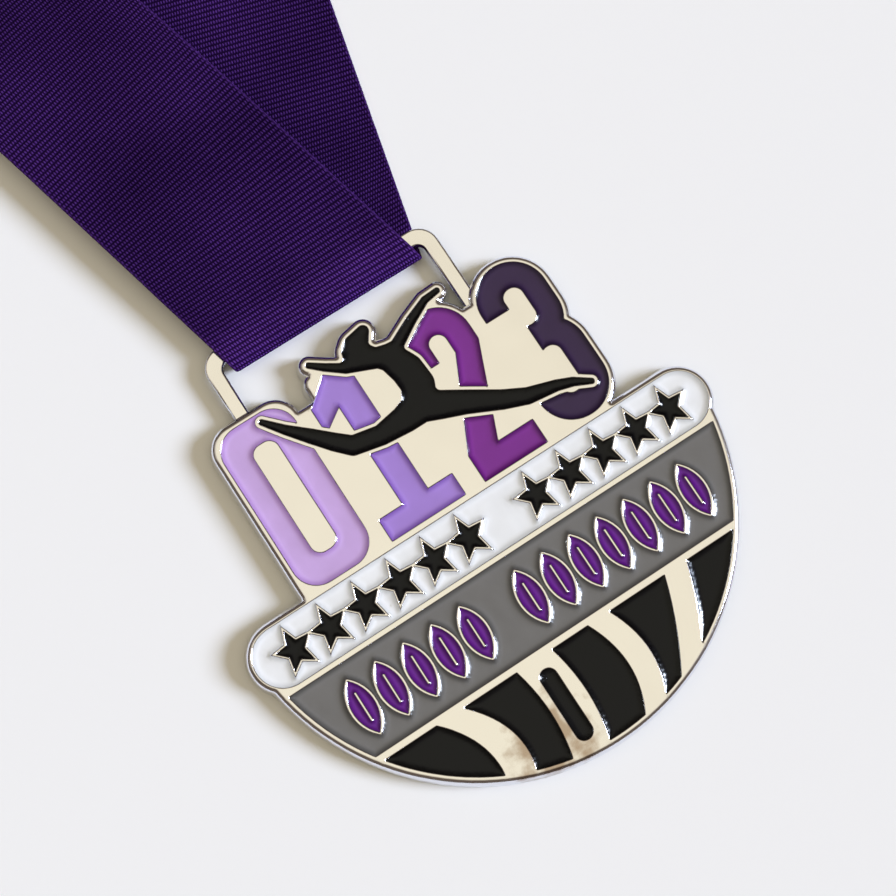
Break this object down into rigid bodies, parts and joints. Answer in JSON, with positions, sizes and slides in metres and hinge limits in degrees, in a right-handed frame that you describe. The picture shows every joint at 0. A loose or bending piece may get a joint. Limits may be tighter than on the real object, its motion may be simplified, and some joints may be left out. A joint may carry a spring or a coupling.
{
  "type": "sports finisher medal",
  "caption": "Enamelled die-cast finisher medal with raised numerals, a leaping figure and a banner, on a grosgrain neck ribbon passed through its top loop.",
  "frame": {"origin": "middle of the banner on the medal's flat back face", "axes": "+X along the banner to the right, +Y towards the ribbon loop, +Z out of the enamelled face"},
  "size_m": [0.1529, 0.4085, 0.0378],
  "materials": {
    "metal": "polished nickel plate",
    "enamel_lilac": "glossy",
    "enamel_lavender": "glossy",
    "enamel_purple": "glossy",
    "enamel_aubergine": "glossy",
    "enamel_black": "glossy",
    "enamel_white": "glossy",
    "enamel_grey": "glossy",
    "enamel_violet": "glossy",
    "ribbon": "ribbed grosgrain",
    "thread": "sewing thread"
  },
  "bodies": {
    "medal": {"medal_casting": "metal", "enamel_numeral_zero": "enamel_lilac", "enamel_numeral_one": "enamel_lavender", "enamel_numeral_two": "enamel_purple", "enamel_numeral_three": "enamel_aubergine", "enamel_dancer": "enamel_black", "enamel_banner_field": "enamel_white", "enamel_banner_stars": "enamel_black", "enamel_band_field": "enamel_grey", "enamel_band_leaves": "enamel_violet", "enamel_base_fields": "enamel_black"},
    "ribbon": {"ribbon_bar_fold": "ribbon", "ribbon_front_leg": "ribbon", "ribbon_back_leg": "ribbon"},
    "neck_loop": {"ribbon_left_run": "ribbon", "ribbon_right_run": "ribbon", "seam_stitching": "thread"}
  },
  "joints": [
    {"name": "ribbon_swing", "type": "hinge", "parent": "medal", "child": "ribbon", "pos_m": [-0.0025, 0.05065, 0.00245], "axis": [1, 0, 0], "range_deg": [0, 110]},
    {"name": "neck_fold", "type": "hinge", "parent": "ribbon", "child": "neck_loop", "pos_m": [-0.00215, 0.146, 0.00025], "axis": [1, 0, 0], "range_deg": [0, 75]}
  ]
}
